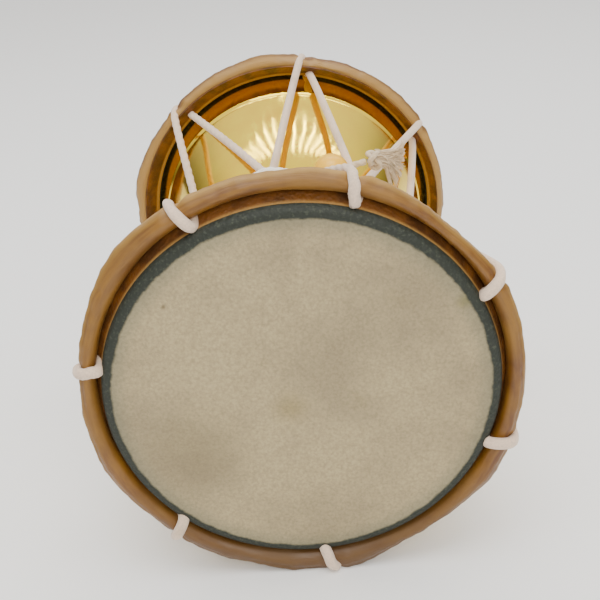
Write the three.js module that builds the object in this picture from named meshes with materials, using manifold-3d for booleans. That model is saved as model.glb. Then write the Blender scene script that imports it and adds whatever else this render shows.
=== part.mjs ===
// A damaru: an hourglass drum of sheet brass with two hide heads, laced with cotton rope and
// lying on its side on its two rolled hide hoops.
// Millimetres, +Z up. The drum's axis runs along Y and its front head faces -Y. Points are
// measured from the drum's middle until the whole is set down on the ground at the end.
import * as THREE from 'three';
import { mergeVertices } from 'three/addons/utils/BufferGeometryUtils.js';
import Module from 'manifold-3d';

const wasm = await Module();
wasm.setup();

const GAP = 0.3; // room between pieces that touch

// Rolled hide hoops: an oval roll, irregular on its outer side
const HOOP_Y = 85; // from the middle of the drum to the middle of each roll
const HOOP_INNER_RADIUS = 68.9;
const HOOP_OUTER_RADIUS = 75.1;
const HOOP_HALF_WIDTH = 4.2; // along the drum's axis
const HOOP_SEGMENTS = 42;
const HOOP_SECTION_POINTS = 8;
// Each hoop sits a little off the drum's axis. Its top may lean back towards the waist.
// Swellings of the roll are given as angle round the drum, spread in degrees, height.
const FRONT_HOOP = {
  side: -1,
  aside: 0,
  lift: 1.2,
  topBack: 4,
  swellings: [
    [281, 9, 3.4], [264, 9, 2.3], [331, 10, 1.6], [202, 9, 1.2], [243, 9, 1.2], [135, 12, 2.0],
    [45, 13, -2.4], [172, 12, -1.0], [296, 7, -0.5],
  ],
};
const BACK_HOOP = {
  side: 1,
  aside: -1,
  lift: 0,
  topBack: 0,
  swellings: [
    [270, 16, 1.4], [166, 10, 1.4], [98, 8, 0.8], [48, 10, 0.6], [210, 12, 0.7], [318, 12, 0.8],
    [77, 7, -0.9], [137, 10, -0.8], [350, 12, -0.5],
  ],
};

// The drum lies on flat spots pressed into the hoops
const REST_HEIGHT = 75.4; // from the drum's axis down to the ground

// Sheet brass shell, half of it: the other half mirrors it
const WALL = 1.2;
const MOUTH_RADIUS = 65.4;
const MOUTH_Y = 87.3;
const BAND_RADIUS = 60.4; // where the flared mouth band meets the bowl
const BAND_Y = 73.5;
const RIDGE_HEIGHT = 0.6; // raised ring between band and bowl
const RIDGE_WIDTH = 2.2;
const NECK_RADIUS = 19.5;
const NECK_Y = 5.5;
const WAIST_RING_RADIUS = 21.5;
const WAIST_RING_HALF_WIDTH = 3;
const WAIST_BORE_RADIUS = 16.5;
const BOWL_STEPS = 5;
const ROUND_SEGMENTS = 32;

// Hide heads
const HIDE = 0.9;
const HEAD_Y = 88.8; // outer face
const LIP_RADIUS = 66.8;
const COLLAR_RADIUS = 70.2; // the collar's edge, tucked behind the hoop
const COLLAR_Y = 80.6;

// Lacing: angles round the drum of the seven loops on each hoop, laced by hand
const ROPE_RADIUS = 1.8;
const ROPE_SIDES = 8;
const FRONT_LOOPS = [117.9, 73.6, 27.7, -21, -85.3, -131.6, -189.9];
const BACK_LOOPS = [81.6, 30.2, -21.3, -72.7, -124.1, -175.6, -227];
const LOOP_SLANT = 1.9; // a loop leans this much to each side, in degrees
const LOOP_PROUD = 0.8; // of the rope's middle over the roll, the rest is bedded in it
const LOOP_POINTS = 6;
const LOOP_FROM = -25; // round the roll's section: 0 is outwards, 90 is towards the head
const LOOP_TO = 170;
const PINCH_RADIUS = 42; // the lower of the two strands that cross at the waist
const PINCH_HALF_WIDTH = 4.4;
const FIRST_LOOP = 4; // the rope's two ends meet in the hole of this front loop, under the drum

// Cord turned twice round the pinched lacing
const WAIST_CORD_RADIUS = 1.4;
const WAIST_CORD_TURNS = 2;
const WAIST_CORD_PITCH = 3;
const WAIST_CORD_CORNER = 2; // degrees to each side of a pinch where the cord turns
const WAIST_KNOT_RADIUS = 3.2;

// Striker: a cord from the waist cord down over the neck and up through a bead, then over a
// strand to a knot with a frayed end. Points are measured from the drum's middle.
const STRIKER_CORD_RADIUS = 1.4;
const STRIKER_ROUTE = [
  [-25, 0, 33], [-24.8, -0.3, 29.4], [-23.9, -0.8, 25.8], [-21.6, -1.2, 22.6], [-18.2, -1.3, 20.8],
  [-14.2, -1, 20.8], [-10.4, 0, 22.6], [-7.1, 1.8, 25.2], [-4.5, 4, 28.4], [-2.2, 6.4, 32],
  [0.1, 8.8, 35.5], [3, 10.8, 38.4], [6.3, 11.8, 40.3], [9.6, 12, 41.1], [16.8, 12, 42.8],
  [24.1, 12, 44.5], [28, 12, 45.4], [31, 12, 46.1],
];
const BEAD_RADIUS = 7.3;
const BEAD_CENTRE = new THREE.Vector3(16.8, 12, 42.8);
const BEAD_TILT = 13; // of the bore over the horizontal, in degrees
const BEAD_RINGS = 9;
const BEAD_SEGMENTS = 16;
const KNOT_CENTRE = new THREE.Vector3(34.3, 12, 46.8);
const KNOT_RADII = new THREE.Vector3(3, 3.2, 3.9);
const FRINGE_OUTLINE = [
  [35, 49.5], [40.8, 51], [45.6, 51.6], [46.5, 47.7], [46, 43.2], [45.4, 38.2], [43.4, 34.1],
  [40.6, 34.7], [39, 39.2], [37.4, 42.7], [35, 43.9],
];
const FRINGE_THICKNESS = 5;
const FRINGE_MIDDLE_Y = 13.5;

const DEGREE = Math.PI / 180;

// A point at a radius and an angle round the drum's axis: 0 is +X, 90 is up
function roundAxis(radius, degrees, y) {
  return new THREE.Vector3(radius * Math.cos(degrees * DEGREE), y, radius * Math.sin(degrees * DEGREE));
}

// A route whose steps follow its points, closely spaced or far apart
class Route extends THREE.CatmullRomCurve3 {
  getUtoTmapping(u) {
    return u;
  }
}

function roundSection(radius, sides) {
  const corners = [];
  for (let i = 0; i < sides; i++) {
    const turn = (i * 2 * Math.PI) / sides;
    corners.push(new THREE.Vector2(radius * Math.cos(turn), radius * Math.sin(turn)));
  }
  return new THREE.Shape(corners);
}

function cordAlong(points, radius) {
  return new THREE.ExtrudeGeometry(roundSection(radius, ROPE_SIDES), {
    steps: points.length - 1,
    extrudePath: new Route(points),
  });
}

// Joins and cuts
function toSolid(geometry) {
  const bare = geometry.clone();
  bare.deleteAttribute('normal');
  bare.deleteAttribute('uv');
  const merged = mergeVertices(bare, 1e-4);
  return new wasm.Manifold(new wasm.Mesh({
    numProp: 3,
    vertProperties: new Float32Array(merged.attributes.position.array),
    triVerts: new Uint32Array(merged.index.array),
  }));
}

function toGeometry(solid) {
  const mesh = solid.getMesh();
  const geometry = new THREE.BufferGeometry();
  geometry.setAttribute('position', new THREE.BufferAttribute(mesh.vertProperties, 3));
  geometry.setIndex(new THREE.BufferAttribute(mesh.triVerts, 1));
  return geometry;
}

// The shell's profile for the +Y half, from the waist's middle to the mouth
function shellProfile() {
  const bowl = new THREE.CubicBezierCurve(
    new THREE.Vector2(NECK_RADIUS, NECK_Y),
    new THREE.Vector2(40, 11),
    new THREE.Vector2(51.8, 50),
    new THREE.Vector2(BAND_RADIUS, BAND_Y - RIDGE_WIDTH / 2),
  );
  const outer = [
    new THREE.Vector2(WAIST_RING_RADIUS, WAIST_RING_HALF_WIDTH * 0.4),
    new THREE.Vector2(NECK_RADIUS, WAIST_RING_HALF_WIDTH),
    ...bowl.getPoints(BOWL_STEPS),
    new THREE.Vector2(BAND_RADIUS + RIDGE_HEIGHT, BAND_Y),
    new THREE.Vector2(BAND_RADIUS + 0.2, BAND_Y + RIDGE_WIDTH / 2),
    new THREE.Vector2(MOUTH_RADIUS, MOUTH_Y),
  ];
  const inner = [new THREE.Vector2(WAIST_BORE_RADIUS, NECK_Y + WALL)];
  for (let i = 1; i <= BOWL_STEPS; i++) {
    const across = bowl.getTangent(i / BOWL_STEPS);
    const point = bowl.getPoint(i / BOWL_STEPS);
    inner.push(new THREE.Vector2(point.x - across.y * WALL, point.y + across.x * WALL));
  }
  inner.push(new THREE.Vector2(MOUTH_RADIUS - WALL, MOUTH_Y));
  return [...outer, ...inner.reverse()];
}

function shellGeometry() {
  const half = shellProfile();
  const mirrored = half.map((point) => new THREE.Vector2(point.x, -point.y)).reverse();
  return new THREE.LatheGeometry([...half, ...mirrored, half[0]], ROUND_SEGMENTS);
}

// A head: a flat hide, its rounded edge and the collar that flares back to the hoop
function headGeometry(hoop) {
  const profile = [
    [0, HEAD_Y - HIDE],
    [LIP_RADIUS - 1.6, HEAD_Y - HIDE],
    [LIP_RADIUS - HIDE, HEAD_Y - 1.7],
    [LIP_RADIUS - HIDE + 0.2, HEAD_Y - 4.4],
    [COLLAR_RADIUS - 2.2, COLLAR_Y + 0.6],
    [COLLAR_RADIUS - 0.4, COLLAR_Y - HIDE],
    [COLLAR_RADIUS, COLLAR_Y],
    [COLLAR_RADIUS - 1.4, COLLAR_Y + 1.2],
    [LIP_RADIUS + 0.5, HEAD_Y - 4.2],
    [LIP_RADIUS, HEAD_Y - 2.2],
    [LIP_RADIUS - 0.8, HEAD_Y - 0.8],
    [LIP_RADIUS - 2.6, HEAD_Y],
    [0, HEAD_Y],
  ];
  const geometry = new THREE.LatheGeometry(profile.map(([r, y]) => new THREE.Vector2(r, y)), ROUND_SEGMENTS);
  if (hoop.side < 0) geometry.rotateZ(Math.PI);
  const place = geometry.attributes.position;
  for (let i = 0; i < place.count; i++) {
    const point = new THREE.Vector3().fromBufferAttribute(place, i);
    const towardsHoop = (Math.hypot(point.x, point.z) - LIP_RADIUS) / (COLLAR_RADIUS - LIP_RADIUS);
    setOnHoop(hoop, point, THREE.MathUtils.clamp(towardsHoop, 0, 1));
    place.setXYZ(i, ...point.toArray());
  }
  return geometry;
}

// How far the roll's outer side swells at an angle
function swelling(swellings, degrees) {
  let height = 0;
  for (const [at, spread, most] of swellings) {
    const away = THREE.MathUtils.euclideanModulo(degrees - at + 180, 360) - 180;
    height += most * Math.exp(-((away / spread) ** 2));
  }
  return height;
}

// Moves a point of a true, central hoop to where the hoop really sits
function setOnHoop(hoop, point, share = 1) {
  const height = (point.z + HOOP_OUTER_RADIUS) / (2 * HOOP_OUTER_RADIUS);
  point.y -= hoop.side * hoop.topBack * height * share;
  point.x += hoop.aside * share;
  point.z += hoop.lift * share;
  return point;
}

function hoopGeometry(hoop) {
  const middle = (HOOP_OUTER_RADIUS + HOOP_INNER_RADIUS) / 2;
  const half = (HOOP_OUTER_RADIUS - HOOP_INNER_RADIUS) / 2;
  const section = [];
  for (let i = 0; i <= HOOP_SECTION_POINTS; i++) {
    const turn = (i * 2 * Math.PI) / HOOP_SECTION_POINTS;
    const y = hoop.side * HOOP_Y + HOOP_HALF_WIDTH * Math.sin(turn);
    section.push(new THREE.Vector2(middle + half * Math.cos(turn), y));
  }
  const geometry = new THREE.LatheGeometry(section, HOOP_SEGMENTS);
  const place = geometry.attributes.position;
  for (let i = 0; i < place.count; i++) {
    const point = new THREE.Vector3().fromBufferAttribute(place, i);
    const radius = Math.hypot(point.x, point.z);
    const degrees = Math.atan2(point.z, point.x) / DEGREE;
    const share = (radius - HOOP_INNER_RADIUS) / (2 * half);
    const grown = roundAxis(radius + share * swelling(hoop.swellings, degrees), degrees, point.y);
    place.setXYZ(i, ...setOnHoop(hoop, grown).toArray());
  }
  return geometry;
}

// A loop of rope over a hoop: from behind, over the outside and the front, into the hole inside it
function loopOver(hoop, degrees) {
  const outer = HOOP_OUTER_RADIUS + swelling(hoop.swellings, degrees);
  const middle = (outer + HOOP_INNER_RADIUS) / 2;
  const halfRadial = (outer - HOOP_INNER_RADIUS) / 2 + LOOP_PROUD;
  const halfAxial = HOOP_HALF_WIDTH + LOOP_PROUD;
  const points = [];
  for (let i = 0; i < LOOP_POINTS; i++) {
    const along = i / (LOOP_POINTS - 1);
    const turn = THREE.MathUtils.lerp(LOOP_FROM, LOOP_TO, along) * DEGREE;
    const lean = LOOP_SLANT * (1 - 2 * along);
    const radius = middle + halfRadial * Math.cos(turn);
    const point = roundAxis(radius, degrees + lean, hoop.side * (HOOP_Y + halfAxial * Math.sin(turn)));
    points.push(setOnHoop(hoop, point));
  }
  return points;
}

// A hoop's loops in the order that the rope reaches them, as many times round as asked
function loopAngle(loops, index) {
  const turns = Math.floor(index / loops.length);
  return loops[index - turns * loops.length] - 360 * turns;
}

// The angle where a strand crosses the waist, midway between the four loops round it
function pinchAngle(index) {
  return (
    loopAngle(FRONT_LOOPS, index)
    + loopAngle(FRONT_LOOPS, index + 1)
    + loopAngle(BACK_LOOPS, index)
    + loopAngle(BACK_LOOPS, index - 1)
  ) / 4;
}

// The stretch where a strand lies across the waist
function acrossWaist(side, index, radius) {
  const angle = pinchAngle(index);
  return [
    roundAxis(radius, angle, side * PINCH_HALF_WIDTH),
    roundAxis(radius, angle, -side * PINCH_HALF_WIDTH),
  ];
}

// The rope's whole route, twice round the drum: from a front hole across the waist and over the
// back hoop, from its hole back across the waist and over the front hoop, and so on
function lacingRoute() {
  const lower = PINCH_RADIUS;
  const upper = PINCH_RADIUS + 2 * ROPE_RADIUS + GAP;
  const points = [];
  for (let visit = 0; visit < FRONT_LOOPS.length; visit++) {
    const index = FIRST_LOOP + 2 * visit;
    points.push(
      ...acrossWaist(-1, index, lower),
      ...loopOver(BACK_HOOP, loopAngle(BACK_LOOPS, index)),
      ...acrossWaist(1, index + 1, upper),
      ...loopOver(FRONT_HOOP, loopAngle(FRONT_LOOPS, index + 2)),
    );
  }
  const lastPoint = points[points.length - 1];
  const start = lastPoint.clone().lerp(points[0], 0.01);
  points.unshift(start);
  // Where the drum rests on a loop, the loop is pressed into the roll
  const lowest = ROPE_RADIUS + 0.15 - REST_HEIGHT;
  for (const point of points) {
    point.z = Math.max(point.z, lowest);
  }
  return points;
}

// The waist cord's route: straight from pinch to pinch, ending where it began, beside itself
function waistCordRoute() {
  const radius = PINCH_RADIUS + 3 * ROPE_RADIUS + WAIST_CORD_RADIUS + 2 * GAP;
  const pinches = WAIST_CORD_TURNS * FRONT_LOOPS.length;
  const start = (pinchAngle(FIRST_LOOP) + pinchAngle(FIRST_LOOP + 1)) / 2;
  const chord = radius * Math.cos(Math.PI / FRONT_LOOPS.length);
  const yAt = (share) => WAIST_CORD_TURNS * WAIST_CORD_PITCH * (share - 0.5);
  const points = [roundAxis(chord, start, yAt(0))];
  for (let i = 0; i < pinches; i++) {
    const angle = pinchAngle(FIRST_LOOP + 1 + i);
    const y = yAt((i + 0.5) / pinches);
    points.push(roundAxis(radius, angle + WAIST_CORD_CORNER, y), roundAxis(radius, angle - WAIST_CORD_CORNER, y));
  }
  points.push(roundAxis(chord, start, yAt(1)));
  return points;
}

function waistCordGeometry() {
  const route = waistCordRoute();
  const knot = new THREE.SphereGeometry(WAIST_KNOT_RADIUS, 8, 6);
  const middle = route[0].clone().lerp(route[route.length - 1], 0.5);
  knot.scale(1.4, 1.5, 1);
  knot.translate(middle.x, middle.y, middle.z);
  return toGeometry(toSolid(cordAlong(route, WAIST_CORD_RADIUS)).add(toSolid(knot)));
}

function beadGeometry() {
  const bore = STRIKER_CORD_RADIUS + GAP;
  const from = Math.asin(bore / BEAD_RADIUS);
  const profile = [];
  for (let i = 0; i <= BEAD_RINGS; i++) {
    const turn = THREE.MathUtils.lerp(from, Math.PI - from, i / BEAD_RINGS);
    profile.push(new THREE.Vector2(BEAD_RADIUS * Math.sin(turn), -BEAD_RADIUS * Math.cos(turn)));
  }
  return new THREE.LatheGeometry([...profile, profile[0]], BEAD_SEGMENTS);
}

// The striker's overhand knot and the fan of loose ends beyond it
function tasselGeometry() {
  const knot = new THREE.SphereGeometry(1, 12, 10);
  knot.scale(KNOT_RADII.x, KNOT_RADII.y, KNOT_RADII.z);
  knot.translate(KNOT_CENTRE.x, KNOT_CENTRE.y, KNOT_CENTRE.z);
  const outline = new THREE.Shape(FRINGE_OUTLINE.map(([x, z]) => new THREE.Vector2(x, z)));
  const fringe = new THREE.ExtrudeGeometry(outline, { depth: FRINGE_THICKNESS, bevelEnabled: false });
  fringe.rotateX(Math.PI / 2);
  fringe.translate(0, FRINGE_MIDDLE_Y + FRINGE_THICKNESS / 2, 0);
  return toGeometry(toSolid(knot).add(toSolid(fringe)));
}

function finish(colour, roughness, metalness) {
  return new THREE.MeshStandardMaterial({ color: colour, roughness, metalness });
}

const brass = finish(0xd9a93c, 0.15, 1);
const hide = finish(0xa89f84, 0.75, 0);
const rolledHide = finish(0xb08a58, 0.6, 0);
const cotton = finish(0xe4d8c8, 0.9, 0);
const beadCream = finish(0xf6d490, 0.35, 0);

const rest = new THREE.Group();

function addPiece(name, geometry, material) {
  const mesh = new THREE.Mesh(geometry, material);
  mesh.name = name;
  rest.add(mesh);
  return mesh;
}

const route = lacingRoute();
const roomForRope = toSolid(cordAlong(route, ROPE_RADIUS + GAP * 1.2));
const ground = new THREE.BoxGeometry(200, 240, 60);
ground.translate(0, 0, -REST_HEIGHT - 30);
const belowGround = toSolid(ground);

for (const [end, hoop] of Object.entries({ front: FRONT_HOOP, back: BACK_HOOP })) {
  const head = toSolid(headGeometry(hoop)).subtract(roomForRope);
  addPiece(`${end}_head`, toGeometry(head), hide);
  const roll = toSolid(hoopGeometry(hoop)).subtract(roomForRope).subtract(belowGround);
  addPiece(`${end}_hoop`, toGeometry(roll), rolledHide);
}

addPiece('brass_shell', shellGeometry(), brass);
addPiece('lacing_rope', cordAlong(route, ROPE_RADIUS), cotton);
addPiece('waist_cord', waistCordGeometry(), cotton);

const strikerRoute = STRIKER_ROUTE.map((point) => new THREE.Vector3(...point));
addPiece('striker_cord', cordAlong(strikerRoute, STRIKER_CORD_RADIUS), cotton);
const bead = addPiece('striker_bead', beadGeometry(), beadCream);
bead.position.copy(BEAD_CENTRE);
const bore = new THREE.Vector3(Math.cos(BEAD_TILT * DEGREE), 0, Math.sin(BEAD_TILT * DEGREE));
bead.quaternion.setFromUnitVectors(new THREE.Vector3(0, 1, 0), bore);
addPiece('striker_tassel', tasselGeometry(), cotton);

// The origin is on the ground, under the middle of the drum's whole width and length
const middle = new THREE.Box3().setFromObject(rest).getCenter(new THREE.Vector3());
rest.position.set(-middle.x, -middle.y, REST_HEIGHT);

const group = new THREE.Group();
group.add(rest);
export default group;
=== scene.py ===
"""A damaru: an hourglass drum of polished sheet brass with two hide heads.

The drum lies on its side on its two rolled hide hoops, laced together with cotton rope.
Sizes are in metres. Points are measured from the drum's middle, which is the middle of the
packed brass shell: the drum's axis runs along Y, and its front head faces -Y.
"""

import math
import random
from dataclasses import dataclass

import bpy
from bpy.props import FloatProperty, FloatVectorProperty, PointerProperty
from mathutils import Matrix, Vector, noise


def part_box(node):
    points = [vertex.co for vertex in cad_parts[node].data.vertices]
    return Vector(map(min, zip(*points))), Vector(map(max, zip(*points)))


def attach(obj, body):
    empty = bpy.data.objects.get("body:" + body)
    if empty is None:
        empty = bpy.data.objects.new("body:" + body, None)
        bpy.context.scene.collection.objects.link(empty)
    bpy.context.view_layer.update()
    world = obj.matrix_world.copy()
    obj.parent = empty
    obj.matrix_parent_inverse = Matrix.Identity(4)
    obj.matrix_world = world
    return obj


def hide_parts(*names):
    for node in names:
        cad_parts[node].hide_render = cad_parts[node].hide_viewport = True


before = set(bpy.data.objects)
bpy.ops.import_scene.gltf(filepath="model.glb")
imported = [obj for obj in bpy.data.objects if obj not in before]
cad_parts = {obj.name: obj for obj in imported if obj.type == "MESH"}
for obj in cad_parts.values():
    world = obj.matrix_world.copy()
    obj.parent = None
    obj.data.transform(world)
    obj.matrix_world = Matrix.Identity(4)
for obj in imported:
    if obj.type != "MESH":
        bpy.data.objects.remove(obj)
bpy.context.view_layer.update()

bl_info = {
    "name": "Damaru drum",
    "version": (1, 0, 0),
    "blender": (4, 5, 0),
    "location": "View3D > Sidebar > Damaru",
    "description": "Models and finishes a laced brass damaru lying on its hoops",
    "category": "Add Mesh",
}

SHELL_LOW, SHELL_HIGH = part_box("brass_shell")
CENTRE = (SHELL_LOW + SHELL_HIGH) / 2
GROUND = -CENTRE.z
MM = 0.001

# Rolled hide hoops
HOOP_Y = 85 * MM
HOOP_INNER_RADIUS = 68.9 * MM
HOOP_OUTER_RADIUS = 75.1 * MM
HOOP_MIDDLE_RADIUS = (HOOP_OUTER_RADIUS + HOOP_INNER_RADIUS) / 2
HOOP_HALF_WIDTH = 4.2 * MM
HOOP_STEPS = 600
HOOP_SECTION_STEPS = 40
# Relief of the roll: heights in millimetres of what the hide does as it dries
LUMP_HEIGHT = 0.55
WRINKLE_HEIGHT = 0.22
KNUCKLE_HEIGHT = 0.5
CREASE_DEPTH = 0.75
RIDGE_BY_CREASE = 0.35
# Where the rope bites into the roll, and the swell beside it
DENT_DEPTH = 0.9 * MM
DENT_SPREAD = 2.3 * MM
SWELL_HEIGHT = 0.35 * MM
SWELL_AWAY = 4.2 * MM
SWELL_SPREAD = 1.8 * MM


@dataclass
class Hoop:
    """One hoop: how it sits off the drum's axis, and the swellings of its roll.

    A swelling is an angle round the drum and a spread in degrees, and a height in millimetres.
    """

    name: str
    side: int
    aside: float
    lift: float
    top_back: float
    loops_proud: float
    seed: float
    swellings: tuple


FRONT_HOOP = Hoop(
    "front", -1, 0, 1.2 * MM, 4 * MM, 0.8 * MM, 3.7,
    (
        (281, 9, 3.4), (264, 9, 2.3), (331, 10, 1.6), (202, 9, 1.2), (243, 9, 1.2), (135, 12, 2.0),
        (45, 13, -2.4), (172, 12, -1.0), (296, 7, -0.5),
    ),
)
BACK_HOOP = Hoop(
    "back", 1, -1 * MM, 0, 0, -0.9 * MM, 11.2,
    (
        (270, 16, 1.4), (166, 10, 1.4), (98, 8, 0.8), (48, 10, 0.6), (210, 12, 0.7), (318, 12, 0.8),
        (77, 7, -0.9), (137, 10, -0.8), (350, 12, -0.5),
    ),
)

# Brass shell
WALL = 1.2 * MM
MOUTH_RADIUS = 65.4 * MM
MOUTH_Y = 87.3 * MM
BAND_RADIUS = 60.4 * MM
BAND_Y = 73.5 * MM
RIDGE_HEIGHT = 0.6 * MM
RIDGE_WIDTH = 2.2 * MM
NECK_RADIUS = 19.5 * MM
NECK_Y = 5.5 * MM
WAIST_RING_RADIUS = 21.5 * MM
WAIST_RING_HALF_WIDTH = 3 * MM
WAIST_BORE_RADIUS = 16.5 * MM
BOWL_STEPS = 44
BAND_STEPS = 10
BAND_HOLLOW = 0.35 * MM
SHELL_STEPS = 192

# Hide heads
HIDE = 0.9 * MM
HEAD_Y = 88.8 * MM
LIP_RADIUS = 66.8 * MM
COLLAR_RADIUS = 71.4 * MM
COLLAR_Y = 80.6 * MM
DYED_FROM = 63.1 * MM
HEAD_STEPS = 256
SAG_HEIGHT = 0.25 * MM
GRAIN_HEIGHT = 0.08 * MM
PLEAT_HEIGHT = 0.35 * MM
# How far the stains' edges wander
RAGGED = 1.6 * MM

# Stains in the hide: place across and up from its middle, spread, depth, colour
STAINS = (
    (-4.5 * MM, -4.4 * MM, 9 * MM, 0.45, (0.21, 0.15, 0.035)),
    (53.9 * MM, 31.7 * MM, 4.5 * MM, 0.8, (0.22, 0.17, 0.02)),
    (44.6 * MM, 47 * MM, 4 * MM, 0.5, (0.20, 0.14, 0.03)),
    (-42 * MM, 36.3 * MM, 1.2 * MM, 0.9, (0.10, 0.06, 0.02)),
    (-38.2 * MM, -20.9 * MM, 28 * MM, 0.45, (0.17, 0.13, 0.06)),
)

# Lacing
FRONT_LOOPS = (117.9, 73.6, 27.7, -21, -85.3, -131.6, -189.9)
BACK_LOOPS = (81.6, 30.2, -21.3, -72.7, -124.1, -175.6, -227)
LOOP_SLANT = 1.9
LOOP_POINTS = 4
LOOP_FROM = -25
LOOP_TO = 92
# How a loop goes on from the front of the roll into the hole: inwards from the roll's inner
# side, and along the axis from its middle
LOOP_END = ((0.4 * MM, 5.1 * MM), (-1.5 * MM, 4.3 * MM), (-1.9 * MM, 1.9 * MM), (-1.2 * MM, -0.6 * MM))
PINCH_RADIUS = 42 * MM
PINCH_HALF_WIDTH = 4.4 * MM
FIRST_LOOP = 4
GAP = 0.3 * MM
ROPE_STEP = 1.1 * MM
ROPE_PITCH = 15 * MM
ROPE_SIDES = 18
PRESSED_WIDER = 0.2

# Waist cord
WAIST_CORD_TURNS = 2
WAIST_CORD_PITCH = 3 * MM
WAIST_CORD_CORNER = 2
WAIST_CORD_TWIST = 7 * MM
WAIST_KNOT_RADIUS = 3.2 * MM

# Striker
STRIKER_ROUTE = (
    (-0.025, 0, 0.033), (-0.0248, -0.0003, 0.0294), (-0.0239, -0.0008, 0.0258),
    (-0.0216, -0.0012, 0.0226), (-0.0182, -0.0013, 0.0208), (-0.0142, -0.001, 0.0208),
    (-0.0104, 0, 0.0226), (-0.0071, 0.0018, 0.0252), (-0.0045, 0.004, 0.0284),
    (-0.0022, 0.0064, 0.032), (0.0001, 0.0088, 0.0355), (0.003, 0.0108, 0.0384),
    (0.0063, 0.0118, 0.0403), (0.0096, 0.012, 0.0411), (0.0168, 0.012, 0.0428),
    (0.0241, 0.012, 0.0445), (0.028, 0.012, 0.0454), (0.031, 0.012, 0.0461),
)
BEAD_CENTRE = Vector((0.0168, 0.012, 0.0428))
BEAD_TILT = math.radians(13)
BEAD_STEPS = 96
KNOT_CENTRE = Vector((0.0343, 0.012, 0.0468))
KNOT_RADII = Vector((0.0034, 0.0037, 0.0048))
STRIKER_TWIST = 6 * MM
CORD_SIDES = 14
KNOT_SIDES = 12
FRINGE_MIDDLE_Y = 0.0135
FIBRE_RADIUS = 0.2 * MM
# Locks of the frayed end: where each one's tip lies across and up, and how many fibres it has
LOCKS = (
    (0.0462, 0.0510, 40), (0.0464, 0.0488, 40), (0.0460, 0.0458, 38), (0.0455, 0.0425, 36),
    (0.0450, 0.0390, 38), (0.0435, 0.0352, 38), (0.0410, 0.0352, 30),
)

# Camera, from its place round the drum's middle
CAMERA_TURN = 0.00783
CAMERA_PITCH = 0.46085
CAMERA_ROLL = -0.06876
CAMERA_DISTANCE = 0.39865
CAMERA_ASIDE = 0.00112
CAMERA_UP = -0.00757
CAMERA_LENS = 57.6

# Lamps, in watts: a bank of narrow ones hangs over the far bowl, a little to one side
OVERHEAD_WATTS = 9
FRONT_WATTS = 5
STRIP_WATTS = 0.22
STRIPS = 13
STRIPS_WIDTH = 1.1
STRIPS_SHIFT = 0.45
# The sky's strength by the floor and overhead
SKY_LOW = 0.12
SKY_HIGH = 1.3


class DamaruSizes(bpy.types.PropertyGroup):
    """Sizes that a maker would change."""

    rope_radius: FloatProperty(
        name="Rope radius", description="Half the lacing rope's thickness",
        default=1.8 * MM, min=0.001, max=0.003, unit="LENGTH",
    )
    cord_radius: FloatProperty(
        name="Cord radius", description="Half the thickness of the waist and striker cords",
        default=1.4 * MM, min=0.0008, max=0.002, unit="LENGTH",
    )
    bead_radius: FloatProperty(
        name="Bead radius", description="Half the striker bead's diameter",
        default=7.3 * MM, min=0.005, max=0.01, unit="LENGTH",
    )


class DamaruColours(bpy.types.PropertyGroup):
    """Colours of the drum's materials."""

    brass: FloatVectorProperty(
        name="Brass", description="Polished sheet brass", subtype="COLOR", default=(0.96, 0.69, 0.06),
        min=0, max=1,
    )
    hide: FloatVectorProperty(
        name="Hide", description="The heads' scraped hide", subtype="COLOR", default=(0.44, 0.352, 0.188),
        min=0, max=1,
    )
    dye: FloatVectorProperty(
        name="Dyed edge", description="Green dye round the heads", subtype="COLOR",
        default=(0.010, 0.014, 0.0075), min=0, max=1,
    )
    rolled: FloatVectorProperty(
        name="Rolled hide", description="The hoops", subtype="COLOR", default=(0.215, 0.094, 0.010),
        min=0, max=1,
    )
    cotton: FloatVectorProperty(
        name="Cotton", description="The lacing rope", subtype="COLOR", default=(0.80, 0.60, 0.44),
        min=0, max=1,
    )
    cord: FloatVectorProperty(
        name="Cord", description="The waist and striker cords", subtype="COLOR", default=(0.74, 0.58, 0.38),
        min=0, max=1,
    )
    bead: FloatVectorProperty(
        name="Bead", description="The striker's bead", subtype="COLOR", default=(0.88, 0.47, 0.015),
        min=0, max=1,
    )


# Shapes that several pieces share


def round_axis(radius, degrees, y):
    """A point at a radius and an angle round the drum's axis: 0 is +X, 90 is up."""
    turn = math.radians(degrees)
    return Vector((radius * math.cos(turn), y, radius * math.sin(turn)))


def swelling(hoop, degrees):
    """How far a hoop's outer side swells at an angle."""
    height = 0
    for at, spread, most in hoop.swellings:
        away = (degrees - at + 180) % 360 - 180
        height += most * math.exp(-((away / spread) ** 2))
    return height * MM


def set_on_hoop(hoop, point, share=1):
    """Moves a point of a true, central hoop to where the hoop really sits."""
    height = (point.z + HOOP_OUTER_RADIUS) / (2 * HOOP_OUTER_RADIUS)
    shift = Vector((hoop.aside, -hoop.side * hoop.top_back * height, hoop.lift))
    return point + shift * share


def smooth_route(points, step):
    """A centripetal spline through the points, as points that are about a step apart."""
    ends = [2 * points[0] - points[1], *points, 2 * points[-1] - points[-2]]
    fine = [points[0].copy()]
    for before, start, end, after in zip(ends, ends[1:], ends[2:], ends[3:]):
        first = max((start - before).length ** 0.5, 1e-6)
        middle = max((end - start).length ** 0.5, 1e-6)
        last = max((after - end).length ** 0.5, 1e-6)
        leave = (start - before) / first - (end - before) / (first + middle) + (end - start) / middle
        arrive = (end - start) / middle - (after - start) / (middle + last) + (after - end) / last
        leave, arrive = leave * middle, arrive * middle
        count = max(1, round((end - start).length / step))
        for i in range(1, count + 1):
            t = i / count
            fine.append(
                start * (2 * t**3 - 3 * t**2 + 1) + leave * (t**3 - 2 * t**2 + t)
                + end * (3 * t**2 - 2 * t**3) + arrive * (t**3 - t**2)
            )
    return fine


# Modelling steps


def deselect():
    bpy.ops.object.select_all(action="DESELECT")


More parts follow.
